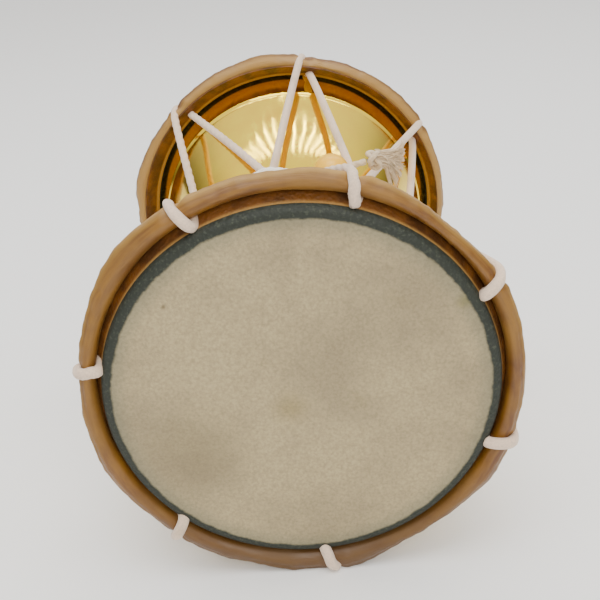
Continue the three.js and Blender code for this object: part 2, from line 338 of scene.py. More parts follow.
def draw_section(name, points):
    """A thin plane merged into one point and extruded from point to point of a section."""
    deselect()
    bpy.ops.mesh.primitive_plane_add(size=0.01, location=(0, 0, 0))
    piece = bpy.context.active_object
    piece.name = piece.data.name = name
    bpy.ops.object.mode_set(mode="EDIT")
    bpy.ops.mesh.select_mode(type="VERT")
    bpy.ops.mesh.select_all(action="SELECT")
    bpy.ops.mesh.merge(type="CENTER")
    bpy.ops.transform.translate(value=CENTRE + points[0])
    for here, there in zip(points, points[1:]):
        bpy.ops.mesh.extrude_region_move(TRANSFORM_OT_translate={"value": there - here})
    bpy.ops.object.mode_set(mode="OBJECT")
    return piece


def spin_section(piece, steps, centre=Vector((0, 0, 0)), axis=(0, 1, 0)):
    """Spins a section all the way round an axis and welds the ends."""
    bpy.ops.object.mode_set(mode="EDIT")
    bpy.ops.mesh.select_all(action="SELECT")
    bpy.ops.mesh.spin(steps=steps, angle=math.tau, center=CENTRE + centre, axis=axis)
    bpy.ops.mesh.select_all(action="SELECT")
    bpy.ops.mesh.remove_doubles(threshold=1e-6)
    bpy.ops.mesh.normals_make_consistent(inside=False)
    bpy.ops.object.mode_set(mode="OBJECT")
    return piece


def sculpt(piece, move):
    """Moves every point of a piece, each measured from the drum's middle."""
    for vertex in piece.data.vertices:
        vertex.co = CENTRE + move(vertex.co - CENTRE)
    piece.data.update()


def lay_cord(name, routes, radius, lobes, pitch, sides, depth=0.07, spread_at=lambda point: 0):
    """A twisted cord along each route: a lobed section that turns once in each pitch.

    spread_at gives the share by which the cord is wider at a point of its route.
    """
    deselect()
    section = bpy.data.curves.new(name + "_section", "CURVE")
    outline = section.splines.new("POLY")
    outline.points.add(sides - 1)
    for i, point in enumerate(outline.points):
        turn = math.tau * i / sides
        reach = radius * (1 - depth + depth * math.cos(lobes * turn))
        point.co = (reach * math.cos(turn), reach * math.sin(turn), 0, 1)
    outline.use_cyclic_u = True
    section_object = bpy.data.objects.new(name + "_section", section)
    bpy.context.collection.objects.link(section_object)
    cord = bpy.data.curves.new(name, "CURVE")
    cord.dimensions = "3D"
    cord.bevel_mode = "OBJECT"
    cord.bevel_object = section_object
    cord.use_fill_caps = True
    for route in routes:
        line = cord.splines.new("POLY")
        line.points.add(len(route) - 1)
        along = 0
        for i, point in enumerate(line.points):
            if i:
                along += (route[i] - route[i - 1]).length
            point.co = (*(CENTRE + route[i]), 1)
            point.tilt = math.tau * along / pitch
            point.radius = 1 + spread_at(route[i])
    piece = bpy.data.objects.new(name, cord)
    bpy.context.collection.objects.link(piece)
    as_mesh(piece)
    bpy.data.objects.remove(section_object)
    return piece


def as_mesh(piece):
    """Turns a curve into a closed mesh."""
    deselect()
    piece.select_set(True)
    bpy.context.view_layer.objects.active = piece
    bpy.ops.object.convert(target="MESH")
    bpy.ops.object.mode_set(mode="EDIT")
    bpy.ops.mesh.select_all(action="SELECT")
    bpy.ops.mesh.remove_doubles(threshold=1e-7)
    bpy.ops.mesh.normals_make_consistent(inside=False)
    bpy.ops.object.mode_set(mode="OBJECT")


def join(pieces):
    deselect()
    for piece in pieces:
        piece.select_set(True)
    bpy.context.view_layer.objects.active = pieces[0]
    bpy.ops.object.join()
    return pieces[0]


def finish_piece(piece, material, node, sharp=math.radians(50)):
    """Smooths a piece, gives it its material and stands it in for its node."""
    deselect()
    piece.select_set(True)
    bpy.context.view_layer.objects.active = piece
    bpy.ops.object.shade_smooth_by_angle(angle=sharp)
    piece.data.materials.clear()
    piece.data.materials.append(material)
    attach(piece, "root")
    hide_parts(node)


# Materials


class Finish:
    """A material's nodes, built one after another."""

    def __init__(self, name, roughness, metallic=0):
        self.material = bpy.data.materials.new(name)
        self.material.use_nodes = True
        self.tree = self.material.node_tree
        self.shader = self.tree.nodes["Principled BSDF"]
        self.shader.inputs["Roughness"].default_value = roughness
        self.shader.inputs["Metallic"].default_value = metallic
        coordinates = self.tree.nodes.new("ShaderNodeTexCoord")
        centred = self.tree.nodes.new("ShaderNodeMapping")
        centred.inputs["Location"].default_value = -CENTRE
        self.link(coordinates.outputs["Object"], centred.inputs["Vector"])
        self.place = centred.outputs["Vector"]

    def link(self, source, target):
        self.tree.links.new(source, target)

    def set(self, socket, value):
        if isinstance(value, (int, float, tuple)):
            socket.default_value = value
        else:
            self.link(value, socket)

    def maths(self, operation, first, second=0.0, clamp=False):
        node = self.tree.nodes.new("ShaderNodeMath")
        node.operation = operation
        node.use_clamp = clamp
        self.set(node.inputs[0], first)
        self.set(node.inputs[1], second)
        return node.outputs[0]

    def stretch(self, value, from_low, from_high, to_low=0.0, to_high=1.0):
        node = self.tree.nodes.new("ShaderNodeMapRange")
        node.interpolation_type = "SMOOTHSTEP"
        self.set(node.inputs["Value"], value)
        for key, number in (
            ("From Min", from_low), ("From Max", from_high), ("To Min", to_low), ("To Max", to_high),
        ):
            self.set(node.inputs[key], number)
        return node.outputs["Result"]

    def noise(self, scale, vector=None, detail=3.0, roughness=0.55, distortion=0.0):
        node = self.tree.nodes.new("ShaderNodeTexNoise")
        node.inputs["Scale"].default_value = scale
        node.inputs["Detail"].default_value = detail
        node.inputs["Roughness"].default_value = roughness
        node.inputs["Distortion"].default_value = distortion
        self.link(vector or self.place, node.inputs["Vector"])
        return node.outputs["Fac"]

    def cells(self, scale, vector=None, feature="F1"):
        node = self.tree.nodes.new("ShaderNodeTexVoronoi")
        node.feature = feature
        node.inputs["Scale"].default_value = scale
        self.link(vector or self.place, node.inputs["Vector"])
        return node.outputs["Distance"]

    def mix(self, share, first, second, how="MIX"):
        node = self.tree.nodes.new("ShaderNodeMix")
        node.data_type = "RGBA"
        node.blend_type = how
        self.set(node.inputs["Factor"], share)
        self.set(node.inputs["A"], first)
        self.set(node.inputs["B"], second)
        return node.outputs["Result"]

    def attribute(self, name):
        node = self.tree.nodes.new("ShaderNodeAttribute")
        node.attribute_name = name
        return node.outputs["Fac"]

    def parts(self, vector=None):
        node = self.tree.nodes.new("ShaderNodeSeparateXYZ")
        self.link(vector or self.place, node.inputs[0])
        return node.outputs

    def vector(self, x, y, z):
        node = self.tree.nodes.new("ShaderNodeCombineXYZ")
        for socket, value in zip(node.inputs, (x, y, z)):
            self.set(socket, value)
        return node.outputs[0]

    def long_side(self, first, second):
        squares = self.maths("MULTIPLY", first, first), self.maths("MULTIPLY", second, second)
        return self.maths("SQRT", self.maths("ADD", *squares))

    def radius(self):
        """The distance from the drum's axis."""
        x, _, z = self.parts()
        return self.long_side(x, z)

    def away_from(self, x, z):
        """The distance from a place on a head."""
        across, _, up = self.parts()
        return self.long_side(self.maths("SUBTRACT", across, x), self.maths("SUBTRACT", up, z))

    def bump(self, height, distance, strength=1.0, after=None):
        node = self.tree.nodes.new("ShaderNodeBump")
        node.inputs["Distance"].default_value = distance
        node.inputs["Strength"].default_value = strength
        self.link(height, node.inputs["Height"])
        if after:
            self.link(after, node.inputs["Normal"])
        self.link(node.outputs[0], self.shader.inputs["Normal"])
        return node.outputs[0]

    def colour(self, value):
        self.set(self.shader.inputs["Base Color"], value)

    def rough(self, value):
        self.link(value, self.shader.inputs["Roughness"])


def opaque(colour, share=1.0):
    return (*(channel * share for channel in colour), 1.0)


def brass_material(colours):
    brass = Finish("polished_brass", 0.1, 1)
    base = opaque(colours.brass)
    cloud = brass.noise(38, detail=4)
    brass.colour(brass.mix(brass.stretch(cloud, 0.35, 0.75), base, opaque((0.90, 0.58, 0.06))))
    _, y, _ = brass.parts()
    radius = brass.radius()
    along = brass.vector(y, radius, 0.0)
    rings = brass.noise(2600, along, detail=2)
    dents = brass.noise(55, detail=1)
    first = brass.bump(dents, 0.0006, 0.35)
    brass.bump(rings, 0.00002, 0.5, first)
    brass.rough(brass.stretch(brass.noise(120, detail=5), 0.3, 0.8, 0.05, 0.17))
    return brass.material


def hide_material(colours):
    """Scraped hide with a pebbled grain, dyed green round its edge; where it is stretched back to the hoop
    it is amber by the lip and darkened by the hoop's painted shadow.
    """
    hide = Finish("head_hide", 0.62)
    skin = opaque(colours.hide)
    blotches = hide.stretch(hide.noise(22, detail=5, roughness=0.6), 0.36, 0.68)
    mottled = hide.mix(blotches, skin, opaque((0.31, 0.245, 0.135)))
    clouds = hide.stretch(hide.noise(48, detail=4, distortion=0.6), 0.60, 0.76, 0, 0.5)
    mottled = hide.mix(clouds, mottled, opaque((0.27, 0.21, 0.095)))
    ragged = hide.maths("MULTIPLY", hide.noise(210, detail=4), 2 * RAGGED)
    for x, z, spread, depth, colour in STAINS:
        reach = hide.maths("ADD", hide.away_from(x, z), ragged)
        inside = hide.stretch(reach, spread + RAGGED, RAGGED, 0, depth)
        mottled = hide.mix(inside, mottled, opaque(colour))
    grain = hide.noise(950, detail=3, roughness=0.7)
    pebbles = hide.cells(860)
    rubbed = hide.mix(hide.stretch(pebbles, 0.25, 0.8, 0, 0.22), mottled, opaque((0.19, 0.15, 0.08)))
    speckled = hide.mix(hide.stretch(grain, 0.34, 0.60, 0.35, 0.0), rubbed, opaque((0.17, 0.135, 0.07)))
    radius = hide.radius()
    _, y, _ = hide.parts()
    outside = hide.stretch(hide.maths("ABSOLUTE", y), HEAD_Y - 3.6 * MM, HEAD_Y - 3.0 * MM)
    bleed = hide.maths("MULTIPLY", hide.noise(160, detail=5, roughness=0.7), 0.0022)
    edge = hide.maths("ADD", radius, bleed)
    halo = hide.stretch(edge, DYED_FROM - 5.5 * MM, DYED_FROM + 1.5 * MM, 0, 0.5)
    tinted = hide.mix(halo, speckled, opaque((0.13, 0.135, 0.085)))
    dyed = hide.stretch(edge, DYED_FROM + 0.6 * MM, DYED_FROM + 1.7 * MM)
    flecks = hide.stretch(hide.noise(700, detail=4, roughness=0.75), 0.5, 0.72)
    dye = hide.mix(flecks, opaque(colours.dye), opaque((0.042, 0.050, 0.030)))
    coloured = hide.mix(dyed, tinted, dye)
    collar = hide.maths("SUBTRACT", 1.0, outside)
    pale_edge = hide.stretch(radius, LIP_RADIUS + 0.9 * MM, LIP_RADIUS + 0.1 * MM)
    # Painted shadow: the collar stretched back to the hoop is dark brown with the hoop's shade, lightening
    # to amber by the lip.
    shaded_collar = hide.mix(
        hide.stretch(hide.noise(150, detail=4), 0.35, 0.65), opaque((0.075, 0.026, 0.004)),
        opaque((0.17, 0.06, 0.008)),
    )
    shaded_collar = hide.mix(pale_edge, shaded_collar, opaque((0.40, 0.22, 0.06)))
    hide.colour(hide.mix(collar, coloured, shaded_collar))
    hide.rough(hide.stretch(collar, 0, 1, 0.66, 0.5))
    soft = hide.bump(pebbles, 0.0004, 0.6)
    hide.bump(grain, 0.0002, 0.7, soft)
    return hide.material


def rolled_material(colours):
    """Hide rolled while wet: streaks along the roll, painted shade in its creases and towards its
    underside, painted light on its side towards the waist, waxy on its ridges.
    """
    roll = Finish("rolled_hide", 0.45)
    x, y, z = roll.parts()
    radius = roll.radius()
    across = roll.maths("ADD", roll.maths("MULTIPLY", radius, 560.0), roll.maths("MULTIPLY", y, 420.0))
    lengthways = roll.vector(
        roll.maths("MULTIPLY", roll.maths("DIVIDE", x, radius), 5.0), across,
        roll.maths("MULTIPLY", roll.maths("DIVIDE", z, radius), 5.0),
    )
    streaks = roll.stretch(roll.noise(1.0, lengthways, detail=5, roughness=0.6), 0.32, 0.7)
    base = roll.mix(streaks, opaque((0.11, 0.038, 0.007)), opaque(colours.rolled))
    patches = roll.stretch(roll.noise(38, detail=4), 0.35, 0.7)
    varied = roll.mix(roll.maths("MULTIPLY", patches, 0.6), base, opaque((0.26, 0.13, 0.018)))
    worn = roll.stretch(roll.attribute("worn"), 0.1, 1.0, 0, 0.4)
    pale = roll.mix(worn, varied, opaque((0.34, 0.20, 0.035)))
    # Painted shade: the roll is darkened near-black along its creases, the shade in their grooves.
    crease = roll.stretch(roll.attribute("crease"), 0.1, 1.0, 0, 0.75)
    crease_shaded = roll.mix(crease, pale, opaque((0.06, 0.02, 0.004)))
    # Painted light: the side of the roll that faces the waist is paler, as if lit from the front.
    lit_inner_side = roll.stretch(roll.maths("ABSOLUTE", y), HOOP_Y - 0.5 * MM, HOOP_Y - 3.5 * MM, 0, 0.6)
    with_lit_side = roll.mix(lit_inner_side, crease_shaded, opaque((0.46, 0.27, 0.07)))
    # Painted shade: the roll is darkened towards its underside, where the drum's own shade falls.
    underside_shade = roll.stretch(z, -25 * MM, -72 * MM, 0, 0.85)
    roll.colour(roll.mix(underside_shade, with_lit_side, opaque((0.095, 0.045, 0.012))))
    roll.rough(roll.stretch(patches, 0, 1, 0.38, 0.6))
    fine = roll.bump(roll.noise(900, detail=4, roughness=0.65), 0.00012, 0.5)
    roll.bump(streaks, 0.0003, 0.4, fine)
    return roll.material


def cotton_material(name, colour, dirt):
    """Soft cotton: short fibres that cross its strands, with handling dirt."""
    cotton = Finish(name, 0.9)
    fibres = cotton.noise(1500, detail=4, roughness=0.7, distortion=0.8)
    clean = cotton.mix(
        cotton.stretch(fibres, 0.35, 0.65), opaque(colour, 0.82), opaque(colour)
    )
    soiled = cotton.stretch(cotton.noise(70, detail=5), 0.5, 0.78, 0, dirt)
    cotton.colour(cotton.mix(soiled, clean, opaque((0.36, 0.25, 0.13))))
    cotton.shader.inputs["Sheen Weight"].default_value = 0.4
    cotton.shader.inputs["Sheen Roughness"].default_value = 0.6
    cotton.bump(fibres, 0.00025, 0.7)
    return cotton.material


def bead_material(colours):
    bead = Finish("cream_bead", 0.3)
    cloud = bead.stretch(bead.noise(90, detail=3), 0.35, 0.7)
    bead.colour(bead.mix(cloud, opaque(colours.bead), opaque((0.92, 0.54, 0.03))))
    bead.shader.inputs["Subsurface Weight"].default_value = 0.06
    bead.shader.inputs["Subsurface Radius"].default_value = (0.004, 0.0025, 0.001)
    bead.shader.inputs["Subsurface Scale"].default_value = 1.0
    bead.rough(bead.stretch(bead.noise(300, detail=4), 0.3, 0.8, 0.24, 0.4))
    return bead.material


# Pieces


def bezier(start, leave, arrive, end, t):
    u = 1 - t
    return start * u**3 + leave * (3 * u * u * t) + arrive * (3 * u * t * t) + end * t**3


def shell_section():
    """The wall's outline, mirrored about the waist: out along the outside, back along the inside."""
    start = Vector((NECK_RADIUS, NECK_Y, 0))
    end = Vector((BAND_RADIUS, BAND_Y - RIDGE_WIDTH / 2, 0))
    controls = (start, Vector((40 * MM, 11 * MM, 0)), Vector((51.8 * MM, 50 * MM, 0)), end)
    bowl = [bezier(*controls, i / BOWL_STEPS) for i in range(BOWL_STEPS + 1)]
    ring = [
        (WAIST_RING_RADIUS, 0), (WAIST_RING_RADIUS, 1.2 * MM), (WAIST_RING_RADIUS - 0.3 * MM, 2 * MM),
        (WAIST_RING_RADIUS - 1.1 * MM, 2.6 * MM), (NECK_RADIUS + 0.2 * MM, WAIST_RING_HALF_WIDTH),
        (NECK_RADIUS, 4 * MM),
    ]
    ridge = []
    for i in range(1, 9):
        share = i / 9
        bulge = RIDGE_HEIGHT * math.sin(math.pi * share) ** 0.6 + 0.2 * MM * share
        ridge.append((BAND_RADIUS + bulge, BAND_Y + RIDGE_WIDTH * (share - 0.5)))
    foot = Vector((BAND_RADIUS + 0.2 * MM, BAND_Y + RIDGE_WIDTH / 2, 0))
    mouth = Vector((MOUTH_RADIUS, MOUTH_Y, 0))
    band = []
    for i in range(BAND_STEPS + 1):
        hollow = BAND_HOLLOW * math.sin(math.pi * i / BAND_STEPS)
        band.append(foot.lerp(mouth, i / BAND_STEPS) - Vector((hollow, 0, 0)))
    outer = [Vector((r, y, 0)) for r, y in ring] + bowl + [Vector((r, y, 0)) for r, y in ridge] + band
    inner = []
    for here, there in zip(outer[6:], outer[7:]):
        along = (there - here).normalized()
        point = here + Vector((-along.y, along.x, 0)) * WALL
        if point.x > WAIST_BORE_RADIUS + 0.4 * MM and len(inner) % 2 == 0 or not inner:
            inner.append(point)
    inner[0] = Vector((WAIST_BORE_RADIUS, NECK_Y + WALL, 0))
    inner = [inner[0], *(point for point in inner[1:] if point.y > inner[0].y + 0.5 * MM)]
    inner.append(Vector((MOUTH_RADIUS - WALL, MOUTH_Y, 0)))
    half = outer + inner[::-1]
    mirrored = [Vector((point.x, -point.y, 0)) for point in half[::-1]]
    return half + mirrored[:-1] + [half[0]]


def make_shell(colours):
    piece = spin_section(draw_section("shell", shell_section()), SHELL_STEPS)
    finish_piece(piece, brass_material(colours), "brass_shell", math.radians(35))


def head_section():
    """From the middle of the outer face over the lip to the collar's edge, and back inside."""
    flat = [Vector((r * MM, HEAD_Y, 0)) for r in range(0, 63, 2)]
    lip = [
        Vector((LIP_RADIUS - 3.4 * MM, HEAD_Y, 0)), Vector((LIP_RADIUS - 2 * MM, HEAD_Y - 0.2 * MM, 0)),
        Vector((LIP_RADIUS - 0.8 * MM, HEAD_Y - 0.8 * MM, 0)), Vector((LIP_RADIUS, HEAD_Y - 2.2 * MM, 0)),
        Vector((LIP_RADIUS + 0.5 * MM, HEAD_Y - 4.2 * MM, 0)),
        Vector((COLLAR_RADIUS - 1.4 * MM, COLLAR_Y + 1.2 * MM, 0)), Vector((COLLAR_RADIUS, COLLAR_Y, 0)),
    ]
    back = [
        (COLLAR_RADIUS - 0.4 * MM, COLLAR_Y - HIDE), (COLLAR_RADIUS - 2.2 * MM, COLLAR_Y + 0.6 * MM),
        (LIP_RADIUS - HIDE + 0.2 * MM, HEAD_Y - 4.4 * MM), (LIP_RADIUS - HIDE, HEAD_Y - 1.7 * MM),
        (LIP_RADIUS - 1.6 * MM, HEAD_Y - HIDE), (40 * MM, HEAD_Y - HIDE), (0, HEAD_Y - HIDE),
    ]
    return flat + smooth_route(lip, 0.55 * MM) + [Vector((r, y, 0)) for r, y in back]


def make_head(hoop, material):
    section = [Vector((point.x, hoop.side * point.y, 0)) for point in head_section()]
    piece = spin_section(draw_section(hoop.name + "_hide", section), HEAD_STEPS)

    def move(point):
        radius = math.hypot(point.x, point.z)
        share = min(max((radius - LIP_RADIUS) / (COLLAR_RADIUS - LIP_RADIUS), 0), 1)
        moved = set_on_hoop(hoop, point, share)
        still = min(1, max(0, (LIP_RADIUS - 1 * MM - radius) / (8 * MM)))
        sag = noise.noise(Vector((point.x, hoop.seed * MM, point.z)) * 45) * SAG_HEIGHT
        grain = noise.noise(Vector((point.x, hoop.seed, point.z)) * 160) * GRAIN_HEIGHT
        moved.y += hoop.side * (sag + grain) * still
        if share > 0:
            degrees = math.degrees(math.atan2(point.z, point.x))
            turn = math.radians(degrees)
            pleat = noise.noise(Vector((math.cos(turn), math.sin(turn), 0)) * 38)
            moved += round_axis(pleat * PLEAT_HEIGHT * share * (1 - share) * 4, degrees, 0)
        return moved

    sculpt(piece, move)
    finish_piece(piece, material, hoop.name + "_head", math.radians(60))


def loops_of(hoop):
    return FRONT_LOOPS if hoop is FRONT_HOOP else BACK_LOOPS


def hoop_wear(hoop, radius, degrees, y):
    """How creased and how worn the roll is at a point: two numbers from 0 to 1."""
    side_turn = math.atan2(y - hoop.side * HOOP_Y, (radius - HOOP_MIDDLE_RADIUS) * 1.3)
    round_turn = math.radians(degrees)
    around = Vector((math.cos(round_turn), math.sin(round_turn), hoop.seed))
    seam = -hoop.side * (0.95 + 0.5 * noise.noise(around * 2.2))
    from_seam = (side_turn + seam + math.pi) % math.tau - math.pi
    open_seam = 0.35 + 0.65 * noise.noise(around * 4.3 + Vector((2, 7, 0)))
    crease = max(0, open_seam) * math.exp(-((from_seam / 0.2) ** 2))
    ridge = math.exp(-(((from_seam + hoop.side * 0.42) / 0.3) ** 2))
    second = -hoop.side * (2.1 + 0.4 * noise.noise(around * 3.1 + Vector((5, 0, 0))))
    from_second = (side_turn + second + math.pi) % math.tau - math.pi
    crease += 0.6 * math.exp(-((from_second / 0.09) ** 2)) * (0.5 + 0.5 * noise.noise(around * 9))
    return min(1, crease), ridge


def make_hoop(hoop, material):
    middle = HOOP_MIDDLE_RADIUS
    half = (HOOP_OUTER_RADIUS - HOOP_INNER_RADIUS) / 2
    section = []
    for i in range(HOOP_SECTION_STEPS + 1):
        turn = math.tau * (i % HOOP_SECTION_STEPS) / HOOP_SECTION_STEPS
        y = hoop.side * HOOP_Y + HOOP_HALF_WIDTH * math.sin(turn)
        section.append(Vector((middle + half * math.cos(turn), y, 0)))
    piece = spin_section(draw_section(hoop.name + "_roll", section), HOOP_STEPS)
    loops = loops_of(hoop)
    creases, wears = {}, {}

    def move(point):
        radius = math.hypot(point.x, point.z)
        degrees = math.degrees(math.atan2(point.z, point.x))
        share = min(1, max(0, (radius - HOOP_INNER_RADIUS) / (2 * half)))
        axial = point.y - hoop.side * HOOP_Y
        crease, ridge = hoop_wear(hoop, radius, degrees, point.y)
        turn = math.radians(degrees)
        around = Vector((math.cos(turn), math.sin(turn), hoop.seed))
        out = Vector((radius - middle, axial)).normalized()
        lumps = noise.noise(around * 6 + Vector((0, 0, axial * 90))) * LUMP_HEIGHT
        wrinkles = noise.noise(around * 26 + Vector((0, 0, radius * 420 + axial * 300))) * WRINKLE_HEIGHT
        knuckles = max(0, noise.noise(around * 15 + Vector((9, 2, axial * 60)))) * KNUCKLE_HEIGHT
        relief = (lumps + wrinkles + knuckles - CREASE_DEPTH * crease + RIDGE_BY_CREASE * ridge) * MM
        grip = 0
        for at in loops:
            lean = LOOP_SLANT * (-axial * hoop.side / HOOP_HALF_WIDTH) * 0.9
            away = ((degrees - at + lean + 180) % 360 - 180) / 360 * math.tau * radius
            grip = max(grip, math.exp(-((away / DENT_SPREAD) ** 2)))
            relief += SWELL_HEIGHT * math.exp(-(((abs(away) - SWELL_AWAY) / SWELL_SPREAD) ** 2)) * share
        relief -= DENT_DEPTH * grip * share
        relief *= 0.25 + 0.75 * share
        moved_radius = radius + share * swelling(hoop, degrees) + out.x * relief
        moved = round_axis(moved_radius, degrees, point.y + out.y * relief)
        moved = set_on_hoop(hoop, moved)
        moved.z = max(moved.z, GROUND)
        return moved

    wear = [hoop_wear(
        hoop, math.hypot(v.co.x - CENTRE.x, v.co.z - CENTRE.z),
        math.degrees(math.atan2(v.co.z - CENTRE.z, v.co.x - CENTRE.x)), v.co.y - CENTRE.y,
    ) for v in piece.data.vertices]
    sculpt(piece, move)
    for name, column in (("crease", 0), ("worn", 1)):
        attribute = piece.data.attributes.new(name, "FLOAT", "POINT")
        attribute.data.foreach_set("value", [pair[column] for pair in wear])
    finish_piece(piece, material, hoop.name + "_hoop", math.radians(80))


def loop_over(hoop, degrees):
    """A loop of rope over a hoop: from behind, over the outside, into the hole inside it."""
    outer = HOOP_OUTER_RADIUS + swelling(hoop, degrees)
    middle = (outer + HOOP_INNER_RADIUS) / 2
    half_radial = (outer - HOOP_INNER_RADIUS) / 2 + hoop.loops_proud
    half_axial = HOOP_HALF_WIDTH + 0.8 * MM
    places = []
    for i in range(LOOP_POINTS):
        turn = math.radians(LOOP_FROM + (LOOP_TO - LOOP_FROM) * i / (LOOP_POINTS - 1))
        places.append((middle + half_radial * math.cos(turn), half_axial * math.sin(turn)))
    places += [(HOOP_INNER_RADIUS + inwards, along) for inwards, along in LOOP_END]
    points = []
    for i, (radius, along) in enumerate(places):
        lean = LOOP_SLANT * (1 - 2 * i / (len(places) - 1))
        point = round_axis(radius, degrees + lean, hoop.side * (HOOP_Y + along))
        points.append(set_on_hoop(hoop, point))
    return points


def loop_angle(loops, index):
    turns = index // len(loops)
    return loops[index - turns * len(loops)] - 360 * turns


def pinch_angle(index):
    """Where a strand crosses the waist, midway between the four loops round it."""
    return (
        loop_angle(FRONT_LOOPS, index) + loop_angle(FRONT_LOOPS, index + 1)
        + loop_angle(BACK_LOOPS, index) + loop_angle(BACK_LOOPS, index - 1)
    ) / 4


def across_waist(side, index, radius):
    angle = pinch_angle(index)
    return [round_axis(radius, angle, y) for y in (side * PINCH_HALF_WIDTH, -side * PINCH_HALF_WIDTH)]


def lacing_route(rope_radius):
    """The rope's whole route, twice round the drum."""
    upper = PINCH_RADIUS + 2 * rope_radius + GAP
    points = []
    for visit in range(len(FRONT_LOOPS)):
        index = FIRST_LOOP + 2 * visit
        points += across_waist(-1, index, PINCH_RADIUS)
        points += loop_over(BACK_HOOP, loop_angle(BACK_LOOPS, index))
        points += across_waist(1, index + 1, upper)
        points += loop_over(FRONT_HOOP, loop_angle(FRONT_LOOPS, index + 2))
    points.insert(0, points[-1].lerp(points[0], 0.01))
    lowest = rope_radius + 0.15 * MM + GROUND
    for point in points:
        point.z = max(point.z, lowest)
    return points


def pressed_wide(point):
    """How much wider the rope is where it lies over the face of a hoop."""
    return PRESSED_WIDER * min(1, max(0, (abs(point.y) - HOOP_Y + 0.5 * MM) / (2.5 * MM)))


def make_lacing(sizes, colours):
    route = smooth_route(lacing_route(sizes.rope_radius), ROPE_STEP)
    for point in route:
        point.z = max(point.z, sizes.rope_radius + 0.1 * MM + GROUND)
    piece = lay_cord("lacing", [route], sizes.rope_radius, 3, ROPE_PITCH, ROPE_SIDES, 0.07, pressed_wide)
    material = cotton_material("cotton_rope", colours.cotton, 0.45)
    finish_piece(piece, material, "lacing_rope", math.radians(80))


def waist_cord_route(sizes):
    radius = PINCH_RADIUS + 3 * sizes.rope_radius + sizes.cord_radius + 2 * GAP
    pinches = WAIST_CORD_TURNS * len(FRONT_LOOPS)
    start = (pinch_angle(FIRST_LOOP) + pinch_angle(FIRST_LOOP + 1)) / 2
    chord = radius * math.cos(math.pi / len(FRONT_LOOPS))

    def y_at(share):
        return WAIST_CORD_TURNS * WAIST_CORD_PITCH * (share - 0.5)

    points = [round_axis(chord, start, y_at(0))]
    for i in range(pinches):
        angle = pinch_angle(FIRST_LOOP + 1 + i)
        for corner in (WAIST_CORD_CORNER, -WAIST_CORD_CORNER):
            points.append(round_axis(radius, angle + corner, y_at((i + 0.5) / pinches)))
    points.append(round_axis(chord, start, y_at(1)))
    return points


def overhand(centre, reach, turned, count=90):
    """The closed path of an overhand knot drawn tight, inside a box of half sizes."""
    path = []
    for i in range(count + 1):
        t = math.tau * i / count
        point = Vector((
            math.sin(3 * t) * 0.75,
            (math.sin(t) + 2 * math.sin(2 * t)) / 3,
            (math.cos(t) - 2 * math.cos(2 * t)) / 3,
        ))
        point = Vector((point.x * reach.x, point.y * reach.y, point.z * reach.z))
        path.append(centre + turned @ point)
    return path


def make_waist_cord(sizes, material):
    points = waist_cord_route(sizes)
    route = smooth_route(points, 0.9 * MM)
    middle = points[0].lerp(points[-1], 0.5)
    reach = Vector((WAIST_KNOT_RADIUS * 0.75, WAIST_KNOT_RADIUS * 1.05, WAIST_KNOT_RADIUS * 0.95))
    knot = overhand(middle, reach, Matrix.Identity(3))
    piece = lay_cord(
        "waist_binding", [route, knot], sizes.cord_radius, 2, WAIST_CORD_TWIST, CORD_SIDES, 0.1,
    )
    finish_piece(piece, material, "waist_cord", math.radians(80))


def make_bead(sizes, colours):
    """A turned bead with a bore whose lips are rounded."""
    bore = sizes.cord_radius + GAP
    radius = sizes.bead_radius
    start = math.asin(bore / radius)
    steps = 34
    outline = []
    for i in range(steps + 1):
        turn = start + (math.pi - 2 * start) * i / steps
        outline.append((radius * math.sin(turn), -radius * math.cos(turn)))
    depth = outline[-1][1]
    lips = [
        (bore - 0.1 * MM, depth - 0.25 * MM), (bore - 0.15 * MM, 0), (bore - 0.1 * MM, -depth + 0.25 * MM),
    ]
    outline += lips + [outline[0]]
    axis = Vector((math.cos(BEAD_TILT), 0, math.sin(BEAD_TILT)))
    out = Vector((-axis.z, 0, axis.x))
    section = [BEAD_CENTRE + out * across + axis * along for across, along in outline]
    piece = spin_section(draw_section("bead", section), BEAD_STEPS, BEAD_CENTRE, axis)
    finish_piece(piece, bead_material(colours), "striker_bead", math.radians(70))
    return piece


def fringe_routes():
    """Loose ends that leave the knot together and fan out in a few locks."""
    draw = random.Random(12)
    routes = []
    for x, z, fibres in LOCKS:
        for _ in range(fibres):
            start = KNOT_CENTRE + Vector((
                draw.uniform(0.3, 1.6), draw.gauss(0, 0.9), draw.gauss(0, 1.3))) * MM
            end = Vector((
                x + draw.gauss(0, 0.5) * MM,
                FRINGE_MIDDLE_Y + draw.gauss(0, 1.0) * MM,
                z + draw.gauss(0, 0.8) * MM,
            ))
            leave = start + Vector((draw.uniform(3.5, 6.5), draw.gauss(0.6, 0.4), draw.gauss(0, 0.8))) * MM
            arrive = end + Vector((
                draw.uniform(-3.0, -0.5), draw.gauss(0, 0.4), (leave.z - end.z) / MM * 0.45)) * MM
            curl = Vector((0, draw.gauss(0, 0.3), draw.gauss(0, 0.35))) * MM
            route = []
            for i in range(8):
                t = i / 7
                wave = curl * math.sin(math.tau * t * 1.3)
                route.append(bezier(start, leave, arrive, end, t) + wave)
            routes.append(route)
    return routes


def make_fringe(name):
    deselect()
    curve = bpy.data.curves.new(name, "CURVE")
    curve.dimensions = "3D"
    curve.bevel_depth = FIBRE_RADIUS
    curve.bevel_resolution = 0
    curve.use_fill_caps = True
    for route in fringe_routes():
        line = curve.splines.new("POLY")
        line.points.add(len(route) - 1)
        for i, point in enumerate(line.points):
            point.co = (*(CENTRE + route[i]), 1)
            point.radius = 1 - 0.5 * i / (len(route) - 1)
    piece = bpy.data.objects.new(name, curve)
    bpy.context.collection.objects.link(piece)
    as_mesh(piece)
    return piece


